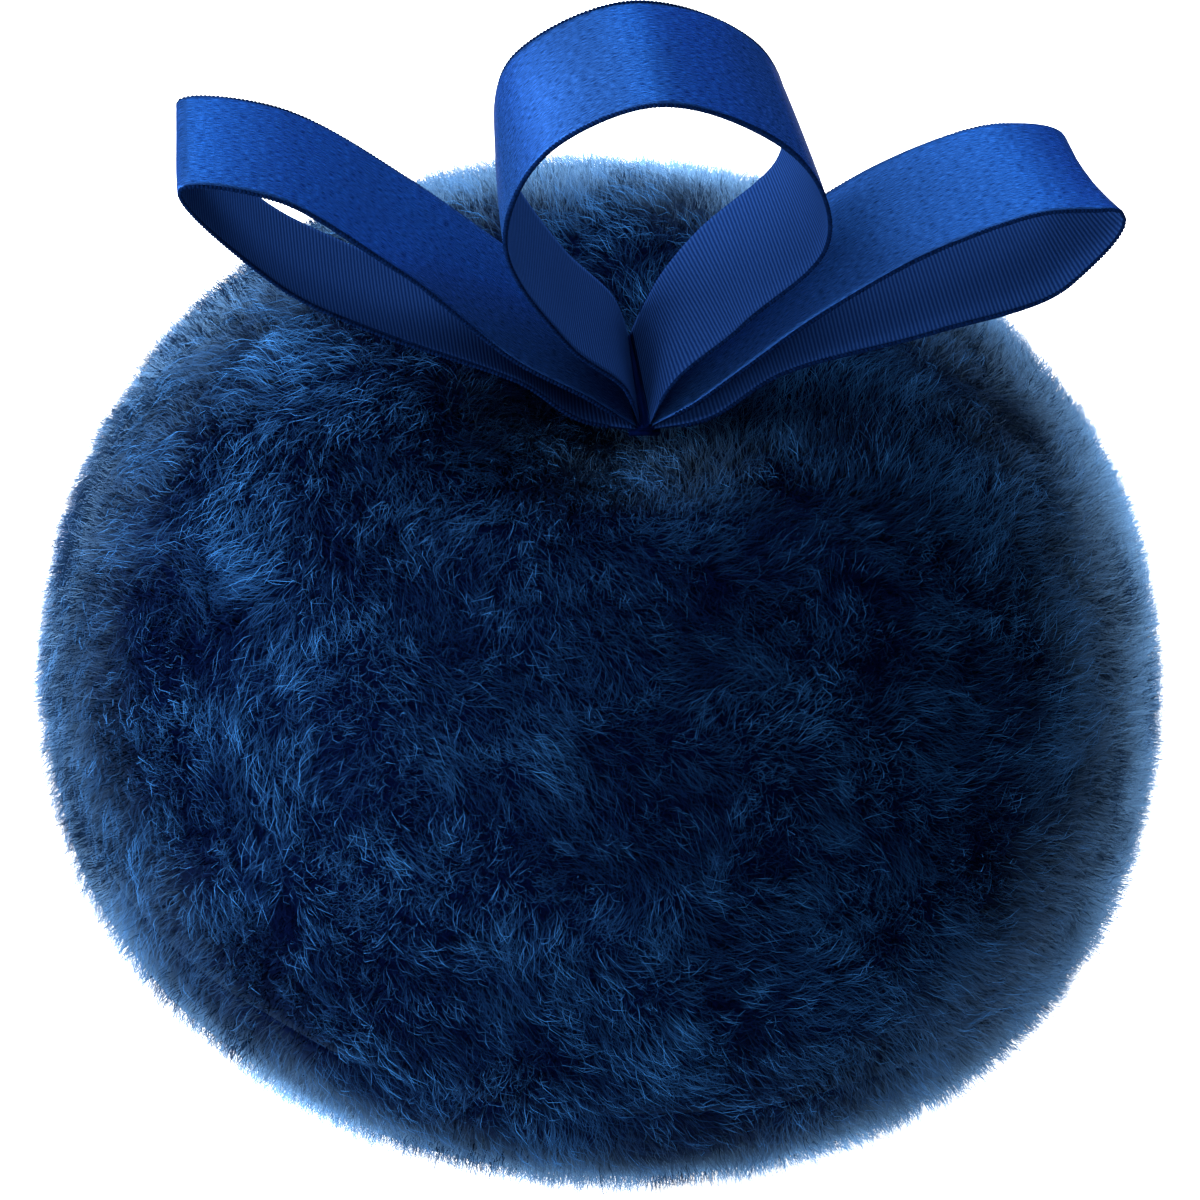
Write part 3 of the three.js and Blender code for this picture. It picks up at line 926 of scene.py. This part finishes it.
def ribbon_mesh(name, sizes, wide=24):
    """A flat woven ribbon with a wall: face 0 is the outer satin, face 1 the ribbed inner one."""
    frames, run = strand_frames(name, sizes)
    middle = sum((centre for centre, _, _ in frames), Vector()) / len(frames)
    tip = frames[len(frames) // 2]
    face_out = 1 if (tip[0] - middle).dot(tip[2]) > 0 else -1
    half = sizes.ribbon_width / 2 - EDGE_INSET
    points, uvs = [], []
    last = len(frames) - 1
    for layer in (1, -1):
        for step, (centre, across, outward) in enumerate(frames):
            way = step / last
            ends = min(1, THIN_END_RATE * min(way, 1 - way) + THIN_END_SHARE)
            for column in range(wide + 1):
                share = column / wide * 2 - 1
                cup = RIBBON_CUP * share * share
                wave = noise.noise(Vector((share * 0.7, way * 9, len(name) * 3.1)))
                sway = RIBBON_SWAY * wave
                thick = sizes.ribbon_thickness / 2 * ends
                points.append(
                    centre + across * (share * half)
                    + outward * (layer * thick + (sway - cup) * min(1, 6 * way, 6 * (1 - way)))
                )
                uvs.append((share * half * 1000, way * run * 1000))
    row = wide + 1
    size = len(frames) * row
    faces, kinds = [], []
    for layer in (0, 1):
        for step in range(last):
            for column in range(wide):
                low = layer * size + step * row + column
                face = (low, low + row, low + row + 1, low + 1)
                faces.append(face if layer == 0 else face[::-1])
                kinds.append(layer if face_out > 0 else 1 - layer)
    for step in range(last):
        for column in (0, wide):
            top, under = step * row + column, size + step * row + column
            face = (top, under, under + row, top + row)
            faces.append(face if column == 0 else face[::-1])
    for step in (0, last):
        for column in range(wide):
            top, under = step * row + column, size + step * row + column
            face = (top, top + 1, under + 1, under)
            faces.append(face if step == 0 else face[::-1])
    kinds += [2] * (len(faces) - len(kinds))
    mesh = new_mesh(name, points, faces)
    mesh.polygons.foreach_set("material_index", kinds)
    uv_layer = mesh.uv_layers.new(name="ribbon")
    corners = np.zeros(len(mesh.loops), np.int32)
    mesh.loops.foreach_get("vertex_index", corners)
    uv_layer.data.foreach_set("uv", np.array(uvs, np.float32)[corners].ravel())
    mesh.shade_smooth()
    edges = [
        [
            centre + across * (side * (half + BEAD_OUT)) - outward * BEAD_ASIDE
            for centre, across, outward in frames[BARE_FRAMES:-BARE_FRAMES]
        ]
        for side in (-1, 1)
    ]
    return mesh, edges, run


def selvedge_tree():
    """Small slanted loops of weft along a ribbon's edge."""
    tree, values = new_tree("Woven selvedge", (
        ("Edges", "Geometry"), ("Pitch", "Float"), ("Thickness", "Float"), ("Finish", "Material"),
    ), "Selvedge")
    even = even_curve(tree, values["Edges"], values["Pitch"])
    tangent = add_node(tree, "GeometryNodeInputTangent").outputs[0]
    turn = add_node(tree, "FunctionNodeAlignRotationToVector", {"axis": "Z"},
                    {"Vector": tangent}).outputs[0]
    tilt = add_node(tree, "FunctionNodeRotateRotation", {"rotation_space": "LOCAL"},
                    {0: turn, 1: (0.5, 0.35, 0)}).outputs[0]
    bead = add_node(tree, "GeometryNodeMeshIcoSphere", links={"Radius": 0.5, "Subdivisions": 2})
    work_out(tree, values, (("Length", MATH, "MULTIPLY", "Pitch", 1.25),))
    size = add_node(tree, "ShaderNodeCombineXYZ", links={
        0: values["Thickness"], 1: values["Thickness"], 2: values["Length"],
    }).outputs[0]
    sewn = add_node(tree, "GeometryNodeInstanceOnPoints", links={
        "Points": even, "Instance": bead.outputs[0], "Rotation": tilt, "Scale": size,
    })
    return end_tree(tree, sewn.outputs[0], values["Finish"])


def satin_materials(sizes):
    # Double-face polyester satin: the outer face has long warp floats, so it is smooth, with a
    # broad sheen and fine broken lines along the ribbon. They are about 0.06 mm apart and 0.6 mm
    # long; the UV map is in millimetres
    outer = patterned_material(
        "Polyester satin face", sizes.satin_colour,
        {"Roughness": 0.4, "IOR": 1.5, "Specular IOR Level": 0.0, "Metallic": 0.6,
         "Specular Tint": linear_colour("#1c3b70")},
        (linear_colour("#041130"), sizes.satin_colour),
        "ShaderNodeTexNoise", {}, {"Scale": 1.0, "Detail": 2.0, "Roughness": 0.6},
        uv_map="ribbon", stretch=(17, 1.6, 1), bump=0.4,
        spread_out={"From Min": 0.32, "From Max": 0.68, "To Min": 0.1, "To Max": 1.0},
    )[0]
    # The inner face shows the weft as ribs straight across the ribbon; its darker colour is partly
    # the duller ribbed back and partly painted shade inside the loops
    inner = patterned_material(
        "Polyester satin ribbed back", sizes.rib_and_shade_colour,
        {"Roughness": 0.7, "IOR": 1.5, "Specular IOR Level": 0.0},
        (linear_colour("#06163a"), sizes.rib_and_shade_colour),
        "ShaderNodeTexWave", {"bands_direction": "Y", "wave_profile": "SIN"},
        {"Scale": WAVE_LENGTH / (sizes.rib_pitch * 1000), "Distortion": 0.6, "Detail": 1.0,
         "Detail Scale": 2.0},
        uv_map="ribbon", bump=0.35,
    )[0]
    # The selvedge turns the weft back on itself, so it is denser and darker than the cloth, with
    # flecks about 0.3 mm wide
    edge = patterned_material(
        "Woven polyester selvedge", sizes.selvedge_colour,
        {"Roughness": 0.8, "IOR": 1.5, "Specular IOR Level": 0.0},
        (linear_colour("#000310"), linear_colour("#051435")),
        "ShaderNodeTexNoise", {}, {"Scale": 3500.0, "Detail": 1.0},
    )[0]
    return outer, inner, edge


class POWDERPUFF_OT_loops(bpy.types.Operator):
    """Make the bow's three ribbon loops with their woven selvedges"""

    bl_idname = "powder_puff.loops"
    bl_label = "Ribbon Loops"

    def execute(self, context):
        sizes = context.scene.powder_puff_bow
        outer, inner, edge = satin_materials(sizes)
        tree = selvedge_tree()
        for name, body in BODY_OF_LOOP.items():
            mesh, edges, run = ribbon_mesh(name, sizes)
            ribbon = shown(name + "_ribbon", mesh, [outer, inner, edge])
            beads = realised(shown(name + "_edges", wires(name + "_edges", edges)), tree, {
                "Pitch": sizes.bead_pitch, "Thickness": BEAD_WIDTH, "Finish": edge,
            }, name + "_selvedge")
            selvedge = shown(name + "_selvedge", beads)
            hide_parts(name)
            for piece in (ribbon, selvedge):
                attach(piece, body)
        return {"FINISHED"}


class POWDERPUFF_OT_foot(bpy.types.Operator):
    """Make the narrow fold that gathers the ribbon's six strands at the bow's foot"""

    bl_idname = "powder_puff.foot"
    bl_label = "Bow Foot"

    def execute(self, context):
        sizes = context.scene.powder_puff_bow
        pleats = sorted(angle for pair in FOOT_ANGLES.values() for angle in pair)
        outline = []
        for angle in np.linspace(-8, 188, 99):
            lobe = max(math.exp(-(((angle - pleat) / PLEAT_WIDTH) ** 2)) for pleat in pleats)
            reach = sizes.fold_radius * (FOLD_SHARE + PLEAT_SHARE * lobe)
            turn = math.radians(angle)
            outline.append((reach * math.cos(turn), reach * math.sin(turn)))
        flare = sizes.fold_radius * FOOT_FLARE_SHARE
        outline += [
            (-flare, -FOOT_SHOULDER), (-flare * 0.96, -FOOT_DEPTH), (flare * 0.96, -FOOT_DEPTH),
            (flare, -FOOT_SHOULDER),
        ]
        half = sizes.ribbon_width / 2 - FOOT_INSET
        count = len(outline)
        points = []
        stations = ((-1, 0.9), (-0.985, 0.98), (-0.95, 1), (0.95, 1), (0.985, 0.98), (1, 0.9))
        for way, scale in stations:
            points += [
                BOW_AXIS + Vector((x * scale, way * half, z * scale)) for x, z in outline
            ]
        faces = [tuple(range(count)), tuple(range(len(points) - 1, len(points) - 1 - count, -1))]
        for station in range(len(stations) - 1):
            for at in range(count):
                there = (at + 1) % count
                low, high = station * count, (station + 1) * count
                faces.append((low + at, high + at, high + there, low + there))
        mesh = new_mesh("bow_foot", points, faces)
        mesh.shade_smooth()
        foot = shown("bow_foot", mesh, [foot_shade_material(sizes)])
        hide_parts("ribbon_foot")
        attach(foot, "bow")
        return {"FINISHED"}


def foot_shade_material(sizes):
    # The ribbon's own cloth, pressed into a tight fold, in near-black colours that are painted
    # shade for the fold, where hardly any light comes in: creases about 0.17 mm apart and 1.4 mm
    # long
    return patterned_material(
        "Folded polyester satin in painted shade", sizes.selvedge_colour,
        {"Roughness": 0.8, "IOR": 1.5, "Specular IOR Level": 0.0},
        (linear_colour("#00020e"), linear_colour("#020a2c")),
        "ShaderNodeTexNoise", {}, {"Scale": 1.0, "Detail": 1.0}, stretch=(6000, 700, 6000),
    )[0]


class POWDERPUFF_OT_filling(bpy.types.Operator):
    """Make the loose fibre wad inside the two panels"""

    bl_idname = "powder_puff.filling"
    bl_label = "Fibre Filling"

    def execute(self, context):
        sizes = context.scene.powder_puff
        wall = sizes.pile_height + sizes.backing_thickness
        top, under = (panel_profile(side, wall, 30, sizes) for side in (1, -1))
        mesh = closed_shell("fibre_wad", top, under[:-1], 1, steps=90)
        middle = Vector((0, 0, RIM_HEIGHT))
        for vertex in mesh.vertices:
            inward = (middle - vertex.co).normalized()
            lump = 0.5 + 0.5 * noise.noise(vertex.co / LUMP_WIDTH + Vector((4, 9, 2)))
            lump += 0.25 * noise.noise(vertex.co / FINE_LUMP_WIDTH)
            vertex.co += inward * (sizes.filling_clearance + LUMP_HEIGHT * max(lump, 0))
        wad = shown("fibre_wad", mesh, [filling_material(sizes)])
        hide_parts("fibre_filling")
        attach(wad, "puff")
        return {"FINISHED"}


def filling_material(sizes):
    # Carded polyester staple, undyed: loose white fibre with soft grey patches about 2 mm wide from
    # a noise pattern
    return patterned_material(
        "Carded polyester fibre", sizes.filling_colour,
        {"Roughness": 0.95, "IOR": 1.5, "Specular IOR Level": 0.1, "Sheen Weight": 0.3},
        (linear_colour("#c9c8c3"), sizes.filling_colour), "ShaderNodeTexNoise", {},
        {"Scale": 450.0, "Detail": 4.0, "Roughness": 0.7, "Distortion": 1.5},
    )[0]


def thread_tree():
    """Two plies twisted together along a line; the line's own points give the way it runs."""
    tree, values = new_tree("Twisted thread", (
        ("Line", "Geometry"), ("Pitch", "Float"), ("Ply radius", "Float"), ("Step", "Float"),
        ("Finish", "Material"),
    ), "Thread")
    even = even_curve(tree, values["Line"], values["Step"])
    for label, kind in (
        ("tangent", "GeometryNodeInputTangent"), ("normal", "GeometryNodeInputNormal"),
        ("way", "GeometryNodeSplineParameter"), ("whole", "GeometryNodeSplineLength"),
    ):
        values[label] = add_node(tree, kind).outputs[0]
    work_out(tree, values, (
        ("across", VECTOR, "CROSS_PRODUCT", "tangent", "normal"),
        # A whole number of turns, so that a closed line's plies meet themselves
        ("turns", MATH, "DIVIDE", "whole", "Pitch"),
        ("turns", MATH, "ROUND", "turns"),
        ("turns", MATH, "MULTIPLY", "turns", 2 * math.pi),
    ))
    ring = add_node(tree, "GeometryNodeCurvePrimitiveCircle",
                    links={"Resolution": 8, "Radius": values["Ply radius"]}).outputs["Curve"]
    joined = add_node(tree, "GeometryNodeJoinGeometry")
    for start in (0.0, math.pi):
        work_out(tree, values, (
            ("angle", MATH, "MULTIPLY_ADD", "way", "turns", start),
            ("up", MATH, "COSINE", "angle"),
            ("up", MATH, "MULTIPLY", "up", "Ply radius"),
            ("up", VECTOR, "SCALE", "normal", "up"),
            ("aside", MATH, "SINE", "angle"),
            ("aside", MATH, "MULTIPLY", "aside", "Ply radius"),
            ("aside", VECTOR, "SCALE", "across", "aside"),
            ("offset", VECTOR, "ADD", "up", "aside"),
        ))
        ply = add_node(tree, "GeometryNodeSetPosition",
                       links={"Geometry": even, "Offset": values["offset"]})
        body = add_node(tree, "GeometryNodeCurveToMesh",
                        links={"Curve": ply.outputs[0], "Profile Curve": ring, "Fill Caps": True})
        tree.links.new(body.outputs[0], joined.inputs[0])
    return end_tree(tree, joined.outputs[0], values["Finish"])


class POWDERPUFF_OT_threads(bpy.types.Operator):
    """Make the rim's seam thread and the knotted thread that holds the bow"""

    bl_idname = "powder_puff.threads"
    bl_label = "Sewing Threads"

    def execute(self, context):
        sizes = context.scene.powder_puff_bow
        tree = thread_tree()
        material = thread_material(sizes)
        low, high = (Vector(corner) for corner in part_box("rim_seam_thread"))
        ring = (high - low) / 2
        ply = ring.z / 2
        rim = [
            Vector((math.cos(a) * (ring.x - ply * 2), math.sin(a) * (ring.x - ply * 2), RIM_HEIGHT))
            for a in np.linspace(0, 2 * math.pi, 721)[:-1]
        ]
        # A flat knot of three lobes at the low end, and a coiled shank from it up to the foot
        low, high = (Vector(corner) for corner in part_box("tack_thread"))
        wide = sizes.thread_width / 2
        knot = (high.x - wide) * 0.5
        tack = []
        for t in np.linspace(0, 2 * math.pi, 160):
            reach = knot + (knot * 0.85) * math.cos(3 * t)
            tack.append(Vector((
                reach * math.cos(2 * t), reach * math.sin(2 * t),
                low.z + KNOT_RISE + KNOT_HALF_HEIGHT * math.sin(3 * t),
            )))
        shank_start = low.z + SHANK_START
        for t in np.linspace(0, 1, 260):
            angle = t * 2 * math.pi * SHANK_TURNS
            tack.append(Vector((
                SHANK_RADIUS * math.cos(angle), SHANK_RADIUS * math.sin(angle),
                shank_start + t * (high.z - wide * 1.1 - shank_start),
            )))
        for node, line, closed, ply_radius in (
            ("rim_seam_thread", rim, True, ply), ("tack_thread", tack, False, wide / 2),
        ):
            name = node.replace("_thread", "_twist")
            path = shown(name + "_line", wires(name + "_line", [line], closed))
            twist = shown(name, realised(path, tree, {
                "Pitch": ply_radius * 9, "Ply radius": ply_radius, "Step": ply_radius * 1.1,
                "Finish": material,
            }, name))
            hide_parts(node)
            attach(twist, "puff")
        return {"FINISHED"}


def thread_material(sizes):
    # Spun polyester sewing thread, dyed with the pile, with a slight gloss on each ply and
    # darker specks about 0.17 mm wide
    return patterned_material(
        "Spun polyester thread", sizes.thread_colour,
        {"Roughness": 0.5, "IOR": 1.5, "Specular IOR Level": 0.3},
        (linear_colour("#020a20"), sizes.thread_colour),
        "ShaderNodeTexNoise", {}, {"Scale": 6000.0, "Detail": 2.0},
    )[0]


def floor_material(sizes):
    # A translucent white table with a matt top, lit from below, so that it shows plain white
    return patterned_material(
        "Matt white studio floor", sizes.floor_colour,
        {"Roughness": 0.9, "Emission Color": (1, 1, 1, 1), "Emission Strength": sizes.table_glow},
        (linear_colour("#f0f0ef"), sizes.floor_colour),
        "ShaderNodeTexNoise", {}, {"Scale": 40.0, "Detail": 2.0},
    )[0]


class POWDERPUFF_OT_stage(bpy.types.Operator):
    """Set the pale floor, the soft lights and the camera"""

    bl_idname = "powder_puff.stage"
    bl_label = "Studio"

    def execute(self, context):
        scene = context.scene
        sizes = scene.powder_puff_stage
        scene.view_settings.view_transform = "Standard"
        scene.view_settings.look = "None"

        back = Vector((
            math.sin(sizes.azimuth) * math.cos(sizes.elevation),
            -math.cos(sizes.azimuth) * math.cos(sizes.elevation),
            math.sin(sizes.elevation),
        ))
        right = Vector((math.cos(sizes.azimuth), math.sin(sizes.azimuth), 0))
        up = back.cross(right)
        place = Vector((0, 0, sizes.aim_height)) + right * sizes.aim_side + back * sizes.distance
        turned_right = right * math.cos(sizes.roll) - up * math.sin(sizes.roll)
        turned_up = right * math.sin(sizes.roll) + up * math.cos(sizes.roll)
        lens = bpy.data.cameras.new("Camera")
        lens.sensor_width = 36.0
        lens.lens = sizes.focal_length
        lens.clip_start = 0.01
        camera = bpy.data.objects.new("Camera", lens)
        scene.collection.objects.link(camera)
        camera.matrix_world = Matrix((
            (turned_right.x, turned_up.x, back.x, place.x),
            (turned_right.y, turned_up.y, back.y, place.y),
            (turned_right.z, turned_up.z, back.z, place.z),
            (0, 0, 0, 1),
        ))
        scene.camera = camera

        corners = [
            (x * TABLE_HALF_WIDTH, y * TABLE_HALF_WIDTH, 0)
            for x, y in ((-1, -1), (1, -1), (1, 1), (-1, 1))
        ]
        floor = shown("Floor", new_mesh("Floor", corners, [(0, 1, 2, 3)]), [floor_material(sizes)])

        world = bpy.data.worlds.new("White surroundings")
        world.use_nodes = True
        sky = world.node_tree.nodes["Background"]
        sky.inputs["Color"].default_value = (1, 1, 1, 1)
        sky.inputs["Strength"].default_value = sizes.surroundings
        scene.world = world

        for name, place, size, power in (
            ("Ceiling light", (-0.85, 0.2, 1.15), (1.8, 2.0), sizes.ceiling_light),
            ("Top light", (0.02, 0.75, 0.72), (0.5, 0.5), sizes.top_light),
            ("Side light", (-0.88, 0.02, 0.34), (0.4, 0.4), sizes.side_light),
            ("Back light", (0.72, 1.0, 0.5), (1.0, 0.5), sizes.back_light),
            ("Front light", (-0.7, -0.75, 0.26), (0.5, 0.4), sizes.front_light),
        ):
            lamp = bpy.data.lights.new(name, "AREA")
            lamp.shape = "RECTANGLE"
            lamp.size, lamp.size_y = size
            lamp.energy = power
            light = bpy.data.objects.new(name, lamp)
            light.visible_camera = False
            light.location = place
            away = Vector(place) - LIGHT_AIM
            light.rotation_euler = away.to_track_quat("Z", "Y").to_euler()
            scene.collection.objects.link(light)
        return {"FINISHED"}


class POWDERPUFF_PT_sidebar(bpy.types.Panel):
    bl_idname = "POWDERPUFF_PT_sidebar"
    bl_label = "Powder Puff"
    bl_space_type = "VIEW_3D"
    bl_region_type = "UI"
    bl_category = "Powder Puff"

    def draw(self, context):
        scene = context.scene
        for label, group, steps in (
            ("Puff", scene.powder_puff, ("filling", "panels", "pile")),
            ("Bow", scene.powder_puff_bow, ("threads", "foot", "loops")),
            ("Studio", scene.powder_puff_stage, ("stage",)),
        ):
            box = self.layout.box()
            box.label(text=label)
            for name in group.bl_rna.properties.keys():
                if name not in {"rna_type", "name"}:
                    box.prop(group, name)
            for step in steps:
                box.operator(f"powder_puff.{step}")


CLASSES = (
    PuffSettings, BowSettings, StageSettings,
    POWDERPUFF_OT_filling, POWDERPUFF_OT_panels, POWDERPUFF_OT_pile, POWDERPUFF_OT_threads,
    POWDERPUFF_OT_foot, POWDERPUFF_OT_loops, POWDERPUFF_OT_stage,
    POWDERPUFF_PT_sidebar,
)


def register():
    for cls in CLASSES:
        bpy.utils.register_class(cls)
    bpy.types.Scene.powder_puff = bpy.props.PointerProperty(type=PuffSettings)
    bpy.types.Scene.powder_puff_bow = bpy.props.PointerProperty(type=BowSettings)
    bpy.types.Scene.powder_puff_stage = bpy.props.PointerProperty(type=StageSettings)


def unregister():
    for name in ("powder_puff_stage", "powder_puff_bow", "powder_puff"):
        delattr(bpy.types.Scene, name)
    for cls in reversed(CLASSES):
        bpy.utils.unregister_class(cls)


def main():
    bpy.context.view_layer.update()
    register()
    bpy.ops.powder_puff.stage()
    bpy.ops.powder_puff.filling()
    bpy.ops.powder_puff.panels()
    bpy.ops.powder_puff.pile()
    bpy.ops.powder_puff.threads()
    bpy.ops.powder_puff.foot()
    bpy.ops.powder_puff.loops()


if __name__ == "__main__":
    main()
